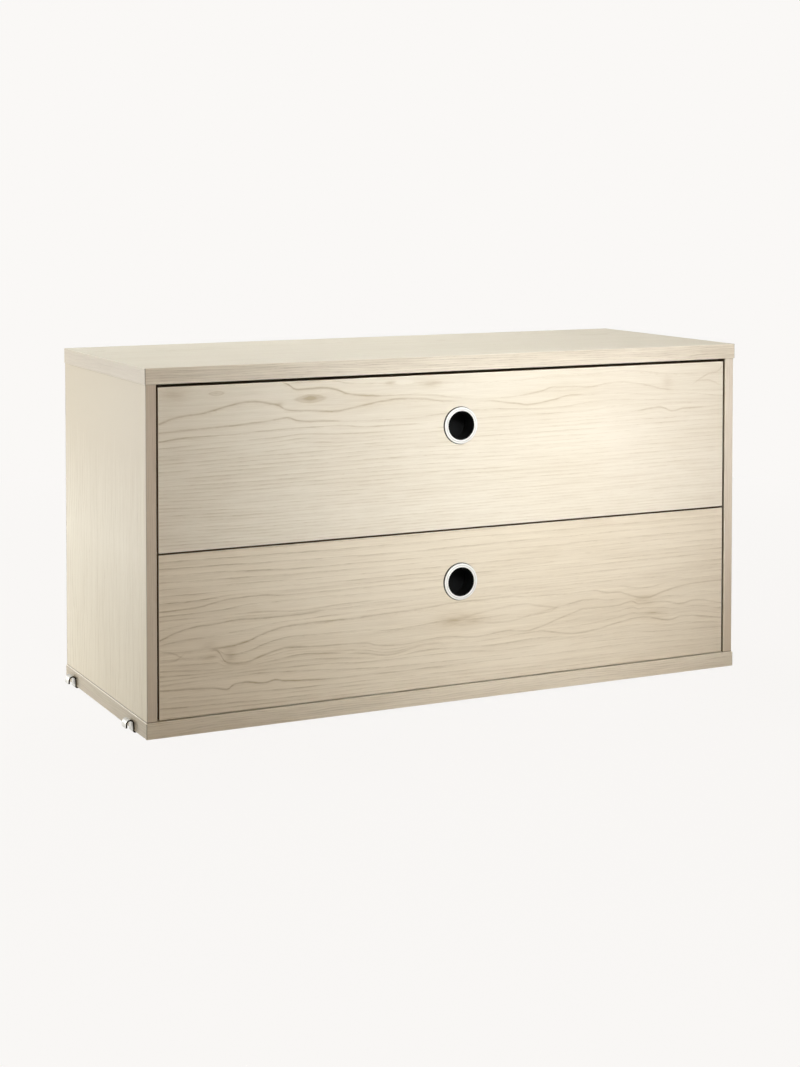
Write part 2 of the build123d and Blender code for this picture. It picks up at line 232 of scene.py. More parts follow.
def makeScrew(name, shape):
    head, rim, high = shape["head"], shape["rim"], shape["headHeight"]
    end = high + shape["length"]
    core, plain = shape["core"], high + shape["plain"]
    screw = startPiece(name, (0, 0, 0))
    outline = [(0, 0), (head - rim / 2, 0), (head, rim), (shape["shank"], high), (shape["shank"], plain),
               (core, plain + screwEnds["narrowing"]), (core, end - shape["tip"]),
               (core * screwEnds["pointShare"], end - screwEnds["point"]), (0, end)]
    for before, after in pairwise(outline):
        extrude(after[0] - before[0], 0, after[1] - before[1])
    bpy.ops.mesh.select_all(action="SELECT")
    turn((0, 0, 0), (0, 0, 1), 360, screwEnds["steps"])
    closeTurned()
    for size in (("length", "width"), ("width", "length")):
        bpy.ops.mesh.primitive_cube_add(size=mm, location=(0, 0, 0))
        cutter = bpy.context.object
        cutter.scale = (crossRecess[size[0]], crossRecess[size[1]], 2 * crossRecess["depth"])
        bpy.ops.object.transform_apply(location=False, rotation=False, scale=True)
        cutAway(screw, cutter)
    thread = makeThread(shape, plain + threadShape["start"], end - threadShape["stop"])
    selectOnly(screw, thread)
    bpy.ops.object.join()
    smoothen(screw, 35)
    return screw


# The ridge of the thread: a pointed outline moved up along a helix
def makeThread(shape, low, high):
    core, crest = shape["core"] - threadShape["sink"], shape["shank"] - threadShape["inside"]
    pitch, steps = shape["pitch"], threadShape["steps"]
    ridge = startPiece("thread", (core, 0, low))
    extrude(crest - core, 0, threadShape["flank"])
    extrude(0, 0, threadShape["crest"])
    extrude(core - crest, 0, threadShape["flank"])
    bpy.ops.object.mode_set(mode="OBJECT")
    turns = int((high - low - shape["tip"] * 0.4) / pitch)
    applyModifier(ridge, "SCREW", axis="Z", steps=steps, render_steps=steps, screw_offset=pitch * mm,
                  iterations=turns)
    bpy.ops.object.mode_set(mode="EDIT")
    bpy.ops.mesh.select_all(action="SELECT")
    bpy.ops.mesh.normals_make_consistent(inside=False)
    bpy.ops.object.mode_set(mode="OBJECT")
    return ridge


# Pull rings and finger cups: corners as (radius, depth behind the front's face, rounding)
pull = {
    "steps": 96,
    "centers": {"bottom": (0, -147.5, 141.3), "top": (0, -147.5, 324.05)},
    "ring": [
        (22.0, 0.0, 0), (21.3, -2.5, 0.25), (19.3, -2.95, 0.08), (19.1, -2.93, 0.05), (18.9, -3.05, 0.12),
        (17.3, -3.4, 0.4), (17.3, -2.9, 0.1), (17.0, -2.9, 0), (17.0, 13.0, 0.25), (19.9, 13.0, 0.3),
        (19.9, 0.0, 0),
    ],
    "cup": [
        (0, 29.2, 0), (22.0, 29.2, 1.6), (22.0, 17.2, 0.5), (25.0, 17.2, 0.4), (25.0, 16.0, 0.2),
        (16.95, 16.0, 0), (16.95, -2.8, 0.3), (15.75, -2.8, 0.3), (15.75, 17.2, 0.8), (20.8, 17.2, 0.4),
        (20.8, 28.0, 1.2), (0, 28.0, 0),
    ],
}


def carry(piece, body, *nodes):
    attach(piece, body)
    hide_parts(*nodes)


for drawer in drawers:
    body = drawer + "_drawer"
    ring = turned(drawer + "PullRing", pull["centers"][drawer], pull["ring"], pull["steps"])
    cup = turned(drawer + "FingerCup", pull["centers"][drawer], pull["cup"], pull["steps"])
    for piece, node in ((ring, drawer + "_pull_ring"), (cup, drawer + "_finger_cup")):
        smoothen(piece, 40)
        carry(piece, body, node)
print("pulls modelled")


def joinCopies(name, model, places):
    # the model is copied to each place, with its own mesh
    copies = []
    for place, direction in places:
        selectOnly(model)
        bpy.ops.object.duplicate(linked=False)
        copy = bpy.context.object
        copy.rotation_euler = Vector((0, 0, 1)).rotation_difference(Vector(direction)).to_euler()
        copy.location = Vector(place) * mm
        bpy.ops.object.transform_apply(location=True, rotation=True, scale=True)
        copies.append(copy)
    selectOnly(*copies)
    bpy.ops.object.join()
    copies[0].name = name
    return copies[0]


hooks = {}
for hand, side in hands.items():
    for row, y in hookShape["placesY"].items():
        node = row + "_" + hand + "_hook"
        hooks[node] = makeHook(row + hand.capitalize() + "Hook", side, y)
        carry(hooks[node], "carcass", node)
print("hooks modelled")

# Rows of screws, a slack away from the sheet that they hold
slack = 0.05
runner = {
    "screwsY": (-108.0, -3.0, 102.0), "z": {"bottom": 104.5, "top": 287.25}, "outerX": 372.0, "innerX": 359.3,
    "sheet": 1.5,
}


def railPlaces(side, drawer, x, outward):
    return [((side * x, y, runner["z"][drawer]), (side * outward, 0, 0)) for y in runner["screwsY"]]


hookScrew = makeScrew("hookScrew", screwShapes["hook"])
hookPlaces = [((side * x, y, slack), (0, 0, 1)) for side in hands.values()
              for y in hookShape["placesY"].values() for x in hookShape["screwX"]]
carry(joinCopies("hookScrews", hookScrew, hookPlaces), "carcass", "hook_screws")
railScrew = makeScrew("railScrew", screwShapes["rail"])
outerX = runner["outerX"] - runner["sheet"] + slack
innerX = runner["innerX"] + runner["sheet"] - slack
outerPlaces = []
for side in hands.values():
    for drawer in drawers:
        outerPlaces += railPlaces(side, drawer, outerX, 1)
carry(joinCopies("outerRailScrews", railScrew, outerPlaces), "carcass", "outer_rail_screws")
for drawer in drawers:
    innerPlaces = railPlaces(-1, drawer, innerX, -1) + railPlaces(1, drawer, innerX, -1)
    innerScrews = joinCopies(drawer + "InnerRailScrews", railScrew, innerPlaces)
    carry(innerScrews, drawer + "_drawer", drawer + "_inner_rail_screws")
for model in (hookScrew, railScrew):
    bpy.data.objects.remove(model, do_unlink=True)
print("screws modelled")


squareOn = 0.7071  # a normal at least this long along an axis looks along it


# A value in a shader tree. It adds, multiplies and compares as a number does, each time through a node.
class Wire:
    def __init__(self, socket):
        self.socket = socket

    def __add__(self, other):
        return calc("ADD", self, other)

    def __sub__(self, other):
        return calc("SUBTRACT", self, other)

    def __rsub__(self, other):
        return calc("SUBTRACT", other, self)

    def __mul__(self, other):
        return calc("MULTIPLY", self, other)

    def __truediv__(self, other):
        return calc("DIVIDE", self, other)

    def __pow__(self, other):
        return calc("POWER", self, other)

    def __abs__(self):
        return calc("ABSOLUTE", self)

    def __gt__(self, other):
        return calc("GREATER_THAN", self, other)

    def __lt__(self, other):
        return calc("LESS_THAN", self, other)

    __radd__ = __add__
    __rmul__ = __mul__


def treeOf(*values):
    return next(value.socket.id_data for value in values if isinstance(value, Wire))


def feed(socket, value):
    if isinstance(value, Wire):
        socket.id_data.links.new(value.socket, socket)
    else:
        socket.default_value = value


def newNode(tree, kind, inputs=None, **settings):
    node = tree.nodes.new("ShaderNode" + kind)
    for name, value in settings.items():
        setattr(node, name, value)
    for name, value in (inputs or {}).items():
        feed(node.inputs[name], value)
    return node


def wires(sockets):
    return {socket.name: Wire(socket) for socket in sockets}


def addNode(tree, kind, inputs=None, **settings):
    return wires(newNode(tree, kind, inputs, **settings).outputs)


def calc(operation, *values, clamp=False):
    node = newNode(treeOf(*values), "Math", operation=operation, use_clamp=clamp)
    for socket, value in zip(node.inputs, values):
        feed(socket, value)
    return Wire(node.outputs[0])


def bell(value):
    # one in the middle, falling off to both sides
    return calc("EXPONENT", value * value * -1.0)


def combine(x, y, z):
    return addNode(treeOf(x, y, z), "CombineXYZ", {"X": x, "Y": y, "Z": z})["Vector"]


def split(vector):
    return addNode(treeOf(vector), "SeparateXYZ", {"Vector": vector})


def spread(value, low, high, newLow=0.0, newHigh=1.0):
    inputs = {"Value": value, "From Min": low, "From Max": high, "To Min": newLow, "To Max": newHigh}
    return addNode(treeOf(value), "MapRange", inputs)["Result"]


# The Mix node has its own sockets for each kind of value
mixSockets = {"FLOAT": (2, 3, 0), "VECTOR": (4, 5, 1), "RGBA": (6, 7, 2)}


def blend(factor, first, second, kind):
    node = newNode(treeOf(factor, first, second), "Mix", {"Factor": factor}, data_type=kind)
    firstInput, secondInput, output = mixSockets[kind]
    feed(node.inputs[firstInput], first)
    feed(node.inputs[secondInput], second)
    return Wire(node.outputs[output])


def blendColors(factor, first, second):
    # a colour that isn't a wire is given as it looks on screen
    tones = [tone if isinstance(tone, Wire) else srgb(*tone) for tone in (first, second)]
    return blend(factor, *tones, "RGBA")


def blendValues(factor, first, second):
    return blend(factor, first, second, "FLOAT")


def rampValue(factor, stops):
    node = newNode(treeOf(factor), "ValToRGB", {"Fac": factor})
    ramp = node.color_ramp
    ramp.interpolation = "EASE"
    for place, value in stops[1:-1]:
        ramp.elements.new(place).color = (value, value, value, 1)
    for element, (place, value) in ((ramp.elements[0], stops[0]), (ramp.elements[-1], stops[-1])):
        element.position = place
        element.color = (value, value, value, 1)
    return Wire(node.outputs["Color"])


def newGroup(name, inputs, outputs):
    # sockets are given as label and kind
    group = bpy.data.node_groups.new(name, "ShaderNodeTree")
    for side, sockets in (("INPUT", inputs), ("OUTPUT", outputs)):
        for label, kind in sockets.items():
            group.interface.new_socket(name=label, in_out=side, socket_type="NodeSocket" + kind)
    given = wires(group.nodes.new("NodeGroupInput").outputs)
    return group, given, group.nodes.new("NodeGroupOutput").inputs


def useGroup(tree, group, inputs):
    node = tree.nodes.new("ShaderNodeGroup")
    node.node_tree = group
    for name, value in inputs.items():
        feed(node.inputs[name], value)
    return wires(node.outputs)


def newMaterial(name):
    material = bpy.data.materials.new(name)
    material.use_nodes = True
    tree = material.node_tree
    return material, tree, tree.nodes["Principled BSDF"].inputs


def millimetres(tree):
    # object coordinates in millimetres
    place = addNode(tree, "TexCoord")["Object"]
    return addNode(tree, "VectorMath", {0: place, "Scale": 1000.0}, operation="SCALE")["Vector"]


def facing(tree):
    return split(addNode(tree, "TexCoord")["Normal"])


def dress(tree, shader, color, rough, height, strength, depth):
    # depth is the height of the bumps in millimetres
    feed(shader["Base Color"], color)
    feed(shader["Roughness"], rough)
    bump = addNode(tree, "Bump", {"Height": height, "Strength": strength, "Distance": depth * mm})
    feed(shader["Normal"], bump["Normal"])


# Noise stretched over so many millimetres along, across and deep, about zero
def grainNoise(parts, seed, along, across, deep, detail=3.0, rough=0.55, shift=0.0):
    moved = [part / size + (seed * 3.17 + shift) for part, size in zip(parts, (along, deep, across))]
    inputs = {"Vector": combine(*moved), "Scale": 1.0, "Detail": detail, "Roughness": rough}
    return addNode(treeOf(*parts), "TexNoise", inputs)["Fac"] - 0.5


# Waves of a line or ring: (length, width across and in depth, height, shift of the noise)
ringWaves = ((150, 45, 9.0, 31), (34, 9, 2.4, 47), (9, 3.5, 0.9, 51))
heartWander = {"across": 26.0, "deep": 18.0}
steepLeast = 0.3  # right over the heart a ring shows as its width divided by this


def addWaves(value, noise, waves, amount=1.0):
    for length, width, height, shift in waves:
        value = value + noise(length, width, width, rough=0.6, shift=shift) * height * amount
    return value


# Growth rings of a flat cut board. Vector is (along, deep, across) in millimetres. Rings are circles round a
# heart that lies below the face, so they show as wide arches over it and as straight lines beside it. Count
# goes up by one from ring to ring, and Width is the width of a ring on the face.
def makeGrowthRings():
    numbers = ("Heart Across", "Heart Depth", "Ring Width", "Wander", "Seed")
    inputs = {"Vector": "Vector", **dict.fromkeys(numbers, "Float")}
    group, given, out = newGroup("growthRings", inputs, {"Count": "Float", "Width": "Float"})
    along, deep, across = split(given["Vector"]).values()
    noise = partial(grainNoise, (along, deep, across), given["Seed"])
    # the heart wanders sideways and in depth along the board
    side = across - given["Heart Across"] - noise(260, 4000, 4000, detail=2, shift=11) * heartWander["across"]
    below = given["Heart Depth"] + noise(180, 4000, 4000, shift=23) * heartWander["deep"] + deep
    radius = calc("SQRT", side * side + below * below)
    steep = calc("MAXIMUM", abs(side) / radius, steepLeast)
    radius = addWaves(radius, noise, ringWaves, given["Wander"])
    # wide and narrow years
    years = noise(500, 30, 30, detail=2, shift=53) * 1.6
    feed(out["Count"], radius / given["Ring Width"] + years)
    feed(out["Width"], given["Ring Width"] / steep)
    return group


# What the rings look like on an ash face: early wood lines with a soft tail, pores, fibres and soft clouds.
# Shade is extra darkness: the board's own figure, and painted shade where a board is given it. A ring's line
# starts sharply and has a soft tail, drawn as (share of the length, strength).
ringLine = {
    "length": 5.0, "fadeLength": 80.0, "shift": 3.73,
    "tail": ((0.0, 1.0), (0.12, 0.85), (0.27, 0.3), (0.55, 0.09), (1.0, 0.0)),
    "start": ((0.0, 1.0), (0.06, 0.6), (0.13, 0.0), (1.0, 0.0)),
}
# A line's strength goes with a noise of its ring, with patches and with the ring's width in millimetres:
# (from, to, strength at from, strength at to)
ringFades = {"ring": (0.36, 0.66, 0.15, 1.0), "patch": (-0.12, 0.1, 0.35, 1.0), "width": (1.0, 7.0, 0.4, 1.0)}
# Fibres, clouds and streaks: (length, width, shift of the noise, detail, roughness, share in the darkness)
grains = {
    "fibre": (40, 0.6, 61, 3, 0.55, 0.55), "fineFibre": (15, 0.25, 67, 2, 0.55, 0.3),
    "cloud": (240, 60, 71, 3, 0.5, 0.4), "streak": (120, 4, 77, 3, 0.55, 0.45),
}
# Open pores are short dashes in the early wood
pores = {"length": 7, "width": 0.4, "least": 0.05, "gain": 6.0, "earlyWood": 2.4, "share": 0.3}


def makeAshFigure():
    numbers = ("Count", "Width", "Seed", "Line Strength", "Shade")
    inputs = {"Vector": "Vector", **dict.fromkeys(numbers, "Float"), "Pale": "Color", "Line": "Color"}
    group, given, out = newGroup("ashFigure", inputs, {"Color": "Color", "Pore": "Float", "Fibre": "Float"})
    along, deep, across = split(given["Vector"]).values()
    noise = partial(grainNoise, (along, deep, across), given["Seed"])
    ring = calc("FLOOR", given["Count"])
    phase = calc("FRACT", given["Count"])
    # a line has the same width in wide and in narrow rings
    tail = rampValue(phase * given["Width"] / ringLine["length"], ringLine["tail"])
    start = rampValue((1.0 - phase) * given["Width"] / ringLine["length"], ringLine["start"])
    line = calc("MAXIMUM", tail, start)
    # each ring is stronger or fainter, and comes and goes along the board
    ringPlace = combine(along / ringLine["fadeLength"], ring * ringLine["shift"], given["Seed"])
    fade = addNode(group, "TexNoise", {"Vector": ringPlace, "Scale": 1.0, "Detail": 3.0})["Fac"]
    line = line * spread(fade, *ringFades["ring"])
    line = line * spread(noise(26, 1.6, 1.6, shift=57), *ringFades["patch"])
    # wide rings, cut flat, show more than narrow ones
    line = line * spread(given["Width"], *ringFades["width"]) * given["Line Strength"]
    dash = noise(pores["length"], pores["width"], pores["width"], detail=1, shift=83)
    dash = calc("SUBTRACT", dash, pores["least"], clamp=True) * pores["gain"]
    early = calc("SUBTRACT", 1.0, phase * pores["earlyWood"], clamp=True)
    pore = calc("MULTIPLY", dash, early, clamp=True)
    feed(out["Pore"], pore)
    amount = line + given["Shade"] + pore * pores["share"]
    for name, (length, width, shift, detail, roughness, share) in grains.items():
        grain = noise(length, width, width, detail=detail, rough=roughness, shift=shift)
        amount = amount + grain * share
        if name == "fibre":
            feed(out["Fibre"], grain)
    amount = calc("ADD", amount, 0.1, clamp=True)
    feed(out["Color"], blendColors(amount, given["Pale"], given["Line"]))
    return group


growthRings = makeGrowthRings()
ashFigure = makeAshFigure()

# The axes along, deep and across in the wood, by the axis that a board's face looks along, then by the axis
# that the surface looks along. What looks another way than the face is edging.
boardLays = {
    "X": {"X": "ZXY", "Y": "ZYX", "Z": "YZX"},
    "Y": {"X": "ZXY", "Y": "XYZ", "Z": "XZY"},
    "Z": {"X": "YXZ", "Y": "XYZ", "Z": "XZY"},
}
frontEdges = {"edge": (232, 221, 200), "edgeLine": (203, 188, 162)}
ashBoards = {
    "top_drawer_front": {
        "face": "Y", "faceAt": -147.5, "upperEdge": 384.3, "seed": 3.1, "strength": 0.7,
        "pale": (245, 235, 217), "line": (200, 182, 151), **frontEdges,
    },
    "bottom_drawer_front": {
        "face": "Y", "faceAt": -147.5, "upperEdge": 201.55, "seed": 8.4, "strength": 0.75,
        "pale": (242, 229, 207), "line": (192, 172, 139), **frontEdges,
    },
    "top_panel": {
        "face": "Z", "faceAt": 405.8,
        "heart": 60, "depth": 120, "ringWidth": 3.8, "wander": 0.8, "seed": 5.2, "strength": 0.5,
        "pale": (234, 225, 204), "line": (208, 194, 167), "edge": (243, 232, 213),
        "edgeLine": (158, 136, 106), "end": (213, 200, 179), "endLine": (190, 175, 152),
        "corner": (385.0, -150.0, 1.0),
    },
    "bottom_panel": {
        "face": "Z", "faceAt": 1.8,
        "heart": -40, "depth": 90, "ringWidth": 4.2, "wander": 1.0, "seed": 12.7, "strength": 0.8,
        "pale": (238, 229, 209), "line": (205, 190, 162), "edge": (239, 227, 206),
        "edgeLine": (188, 170, 143), "end": (214, 203, 183), "endLine": (180, 163, 138),
        "corner": (385.0, -150.0, 1.0),
    },
    "left_side_panel": {
        "face": "X", "faceAt": -384.0,
        "heart": 210, "depth": 160, "ringWidth": 4.4, "wander": 0.8, "seed": 16.3, "strength": 0.85,
        "pale": (240, 230, 208), "line": (212, 198, 171), "edge": (223, 208, 188),
        "edgeLine": (190, 173, 150), "paintedShadeAbove": (200, 400, 1.6), "corner": (384.0, -148.5, 0.6),
    },
    "back_panel": {
        "face": "Y", "faceAt": 140,
        "heart": 190, "depth": 60, "ringWidth": 6.5, "wander": 1.4, "seed": 27.1, "strength": 0.8,
        "pale": (226, 214, 190), "line": (196, 178, 147), "edge": (200, 180, 148),
        "edgeLine": (170, 148, 116),
    },
    "right_side_panel": {
        "face": "X", "faceAt": 384.0,
        "heart": -30, "depth": 90, "ringWidth": 4.6, "wander": 1.0, "seed": 21.9, "strength": 0.8,
        "pale": (237, 227, 205), "line": (210, 195, 167), "edge": (218, 202, 180),
        "edgeLine": (202, 184, 160), "paintedLightEdge": (242, 230, 214), "corner": (384.0, -148.5, 0.6),
    },
}
edging = {"heart": 600, "depth": 90, "ringWidth": 2.6}
# painted light: the right side panel's front edge grows lighter towards the top
paintedLightHeights = (60, 330)  # between these heights an edge takes on its paintedLightEdge colour
# The fronts' edges show a brown core behind the face veneer, dark enough to be painted shade in the narrow
# gaps as well. The side panels get painted shade in the narrow gap beside the fronts and along their joints
# with the top and bottom panels.
frontCoreAndShade = {"from": 0.35, "to": 0.75, "color": (104, 76, 44), "streak": (-0.3, 0.3, 0.0, 0.15)}
gapShade = {
    "halfWidth": 372.3, "front": (-147.2, -145.7), "back": (-135.0, -131.0), "color": (88, 66, 38),
    "strength": 0.72,
}
# painted shade along the joints over and under the side panels: (height, strength)
jointShade = {"joints": ((19.8, 0.85), (387.8, 0.15)), "full": 0.4, "reach": 1.1, "color": (112, 90, 64)}
# the bottom panel stands out below the side panels, with a painted highlight along its upper edge
ledgeHighlight = {"height": 19.8, "reach": 1.3, "from": 384.0, "color": (255, 247, 232), "strength": 0.95}
# corners where two edgings meet show a thin dark line, and the side panels' inner front edges a painted
# highlight
darkCornerLine = {"reach": 0.8, "color": (92, 76, 58), "strength": 0.8}
innerEdgeHighlight = {"from": 372.0, "reach": 0.8, "color": (250, 240, 222), "strength": 0.8}
sandedAndLitEdge = {"color": (252, 243, 226), "strength": 0.85, "steep": (0.98, 0.85)}

# The drawer fronts' own figure. Each course is the line of one growth ring: (rings down to the next course,
# depth at the left end, (x, depth) points between the ends, depth at the right end). Depths are below the
# front's upper edge. Strokes make a part of a course darker, or draw a short line of their own: (course or
# points, from x, to x, width, strength). Eyes are (x, depth, half length, half height, rings lifted, outline,
# filling), and smudges are (x, depth, half length, half height, strength).
halfFront = 369
drawnWaves = ((34, 9, 1.1, 47), (9, 3.5, 0.9, 51))
frontWaves = ((150, 25, 2.6, 31),)
strokeEnd = {"inside": 3, "outside": 9}  # a stroke fades out round its ends
patches = {"stroke": (-0.2, 0.2, 0.35, 1.0), "smudge": (-0.2, 0.2, 0.4, 1.3)}
eyeShape = {"alongPower": 1.4, "acrossPower": 1.7, "fall": -0.8, "rim": 0.3, "core": -1.5}
frontFigures = {
    "top_drawer_front": {
        "courses": {
            "sky": (2, -8, [], -8),
            "a": (1, -5, [(-240, -4), (-219, 2), (-205, 9), (-178, 8.5), (-159, 11), (-143, 17), (-119, 20),
                (-50, 22), (0, 28), (24, 30.5), (82, 29), (109, 25), (125, 21), (150, 21), (175, 23),
                (199, 20), (220, 19), (237, 21), (260, 25), (282, 30.5), (320, 33)], 35),
            "b": (1, 40, [(-348, 34), (-312, 29.5), (-286, 23), (-263, 20), (-240, 23), (-228, 26),
                (-220, 31), (-187, 34), (-159, 36), (-131, 32), (-99, 27), (-78, 25.5), (-48, 27), (-21, 31),
                (42, 33.5), (75, 38), (92, 40), (125, 36.5), (152, 32), (210, 32), (270, 36), (320, 37)],
                42),
            "c": (1, 50, [(-336, 48), (-243, 43), (-219, 40), (-204, 44), (-171, 46), (-119, 48), (-58, 48),
                (-33, 46), (35, 43), (100, 45.5), (140, 45), (171, 42), (205, 40), (250, 41.5)], 46),
            "d": (1, 59, [(-328, 56), (-286, 56), (-249, 54), (-186, 52.5), (-156, 52.5), (-119, 55),
                (-58, 55), (20, 53), (120, 52), (190, 50), (200, 48), (264, 47)], 49),
            "e": (2, 67, [(-300, 64), (-228, 62), (-201, 60), (-160, 62), (-119, 62.5), (20, 60),
                (180, 58.5), (224, 55), (244, 55), (262, 53), (275, 52), (284, 54), (294, 58), (302, 57),
                (310, 55), (329, 55)], 52.5),
            "f": (2, 75, [(-240, 72), (-198, 69), (-150, 71), (60, 68)], 64),
            "g": (11, 84, [(-250, 81), (-60, 78), (60, 80)], 76),
            "h": (16, 128, [(-250, 131), (0, 131)], 129),
            "ground": (0, 188, [], 188),
        },
        "strokes": [
            ("b", -369, -120, 1.3, 0.5), ("b", -120, -10, 1.0, 0.35), ("a", -219, -110, 1.2, 0.55),
            ("a", 85, 290, 1.0, 0.25), ("b", 40, 160, 1.0, 0.4), ("c", -369, -160, 1.1, 0.4),
            ("e", 250, 340, 1.1, 0.42), ("d", -369, -150, 0.9, 0.3), ("e", -260, -100, 0.9, 0.3),
            ([(325, 26), (340, 17.5), (349, 14), (359, 12.5), (369, 5)], 331, 369, 1.0, 0.4),
            ([(325, 23), (344, 22), (350, 23), (362, 28)], 331, 362, 1.0, 0.35),
        ],
        "eyes": [
            (-190, 20.5, 17, 4.4, -0.5, 0.25, 0.55), (-302, 9.5, 8, 2.4, -0.4, 0.3, 0.2),
            (-73, 7, 13, 4.2, -0.3, 0.05, -0.35),
        ],
        "smudges": [
            (-227, 25, 5, 2.6, 0.55), (-350, 9, 18, 6, 0.4), (-90, 7, 7, 2.4, 0.4), (-37, 11, 12, 4, 0.4),
            (287, 22, 7, 9, 0.22), (-190, 20, 9, 2.2, 0.35), (-120, 26, 60, 9, 0.12), (130, 26, 60, 6, 0.14),
        ],
    },
    "bottom_drawer_front": {
        "courses": {
            "sky": (4, -8, [], -8),
            "a": (3, 22.5, [(-100, 28), (150, 27)], 26),
            "b": (2, 45, [(0, 47)], 44),
            "c": (1, 62, [(-325, 61), (-308, 58), (-290, 55), (-253, 54), (-225, 56)], 55),
            "d": (1, 67, [(-300, 66), (-256, 62.5), (0, 64)], 64),
            "e": (2, 72, [(-260, 72), (-201, 75), (-150, 73), (0, 71)], 70),
            "f": (2, 93, [(-353, 87), (-330, 82), (-300, 80), (-276, 78), (-249, 79.5), (-201, 79),
                (-161, 77), (130, 76.5)], 78),
            "g": (2, 104, [(-304, 108), (-286, 107), (-263, 103), (-254, 99.5), (-228, 93), (-203, 91),
                (-133, 90), (-58, 87.5), (-8, 84.7), (67, 84.7), (89, 86.7), (184, 87), (200, 91),
                (220, 92.5), (229, 96), (260, 102), (280, 98), (300, 94), (345, 90.5)], 91),
            "h": (3, 109, [(-304, 110), (-298, 116), (-293, 124), (-284, 127), (-274, 127.5), (-246, 121),
                (-231, 117.5), (-219, 116), (-186, 118), (-119, 121), (-108, 124.5), (-78, 127), (-21, 124),
                (22, 128), (62, 125), (90, 127), (105, 125), (130, 118), (152, 112), (170, 108),
                (214, 108.5), (237, 105), (247, 109), (279, 109), (310, 114.5), (327, 112)], 119),
            "i": (2, 127, [(-300, 131), (-270, 131), (-231, 127.5), (-203, 125), (-149, 129), (-119, 132.5),
                (-91, 137), (-78, 136), (-61, 132), (-41, 130), (22, 133), (105, 129), (125, 132),
                (160, 137), (184, 135), (214, 130), (250, 126), (294, 133), (309, 130), (340, 133)], 138),
            "j": (1, 138, [(-250, 137.5), (-170, 139), (-119, 142), (0, 142.5), (62, 147), (220, 141.7),
                (280, 146)], 149),
            "k": (1, 142, [(-260, 141), (-198, 143.7), (-100, 150), (80, 152), (164, 149)], 157.5),
            "l": (1, 148, [(-320, 150.5), (-303, 152), (-289, 155), (-285, 150.5), (-271, 149), (-246, 152),
                (-233, 150), (-224, 152), (-100, 157), (200, 157)], 163),
            "m": (6, 156, [(-300, 160), (-100, 164)], 168),
            "ground": (0, 190, [], 190),
        },
        "strokes": [
            ("g", -306, -120, 1.2, 0.5), ("g", -120, 120, 1.0, 0.3), ("g", 184, 369, 1.1, 0.35),
            ("h", -304, -200, 1.3, 0.7), ("h", -200, 100, 1.0, 0.35), ("h", 100, 369, 1.1, 0.35),
            ("i", -130, -30, 1.2, 0.45), ("i", 110, 369, 1.0, 0.3), ("f", -369, -180, 1.1, 0.45),
            ("l", -369, -180, 1.2, 0.5), ("c", -369, -220, 1.0, 0.4), ("e", -260, -120, 1.0, 0.3),
            ([(-369, 105), (-353, 109), (-345, 113.5)], -369, -346, 1.1, 0.5),
            ([(-369, 118), (-351, 117), (-345, 113.5)], -369, -346, 1.1, 0.5),
            ([(5, 103), (50, 97), (84, 94.7), (105, 98.7), (130, 103)], 12, 128, 1.1, 0.4),
            ([(8, 108), (59, 113.7), (97, 109), (122, 106.7), (130, 103)], 16, 128, 1.1, 0.4),
        ],
        "eyes": [],
        "smudges": [
            (-1, 105, 26, 8, 0.5), (254, 104, 16, 4, 0.35), (268, 125, 15, 6, 0.3), (-313, 104, 10, 4, 0.3),
            (-313, 117, 10, 3, 0.3), (-287, 118, 7, 9, 0.35), (200, 118, 60, 9, 0.14),
            (-330, 124, 30, 8, 0.12),
        ],
    },
}
ashFinish = {
    "roughness": 0.46, "poreRough": 0.15, "fibreRough": 0.12, "poreDepth": 0.06, "bump": 0.5, "specular": 0.3,
}
# growth lines of the fronts are weaker towards the right
lineFade = {"fromX": -240, "toX": 140, "left": 1.2, "right": 0.62}


def ashMaterial(name, node, board):
    material, tree, shader = newMaterial(name)
    place, normal = split(millimetres(tree)), facing(tree)
    looks = {axis: abs(normal[axis]) > squareOn for axis in "XYZ"}
    figure = boardFigure(tree, node, board, place, looks)
    rough = figure["Fibre"] * ashFinish["fibreRough"] + ashFinish["roughness"]
    rough = figure["Pore"] * ashFinish["poreRough"] + rough
    # rounded edges are paler, partly sanded and partly a painted highlight
    steepest = calc("MAXIMUM", calc("MAXIMUM", abs(normal["X"]), abs(normal["Y"])), abs(normal["Z"]))
    sandedAndLit = spread(steepest, *sandedAndLitEdge["steep"], 0.0, sandedAndLitEdge["strength"])
    color = blendColors(sandedAndLit, figure["Color"], sandedAndLitEdge["color"])
    # the fronts' edges: a brown core that is also painted shade for the gaps between the fronts
    if node in frontFigures:
        core = spread(place["Y"] - board["faceAt"], frontCoreAndShade["from"], frontCoreAndShade["to"])
        core = core * (1.0 - looks["Y"])
        streak = spread(figure["Fibre"], *frontCoreAndShade["streak"])
        color = blendColors(core, color, blendColors(streak, frontCoreAndShade["color"], figure["Color"]))
        rough = blendValues(core, rough, 1.0)
    color = edgeLinesLightAndShade(node, board, place, looks, color)
    if board["face"] == "X":
        shaded = inGap(place)
        color = blendColors(shaded, color, gapShade["color"])
        rough = blendValues(shaded, rough, 1.0)
    shader["Specular IOR Level"].default_value = ashFinish["specular"]
    height = figure["Fibre"] * 0.5 - figure["Pore"]
    dress(tree, shader, color, rough, height, ashFinish["bump"], ashFinish["poreDepth"])
    return material


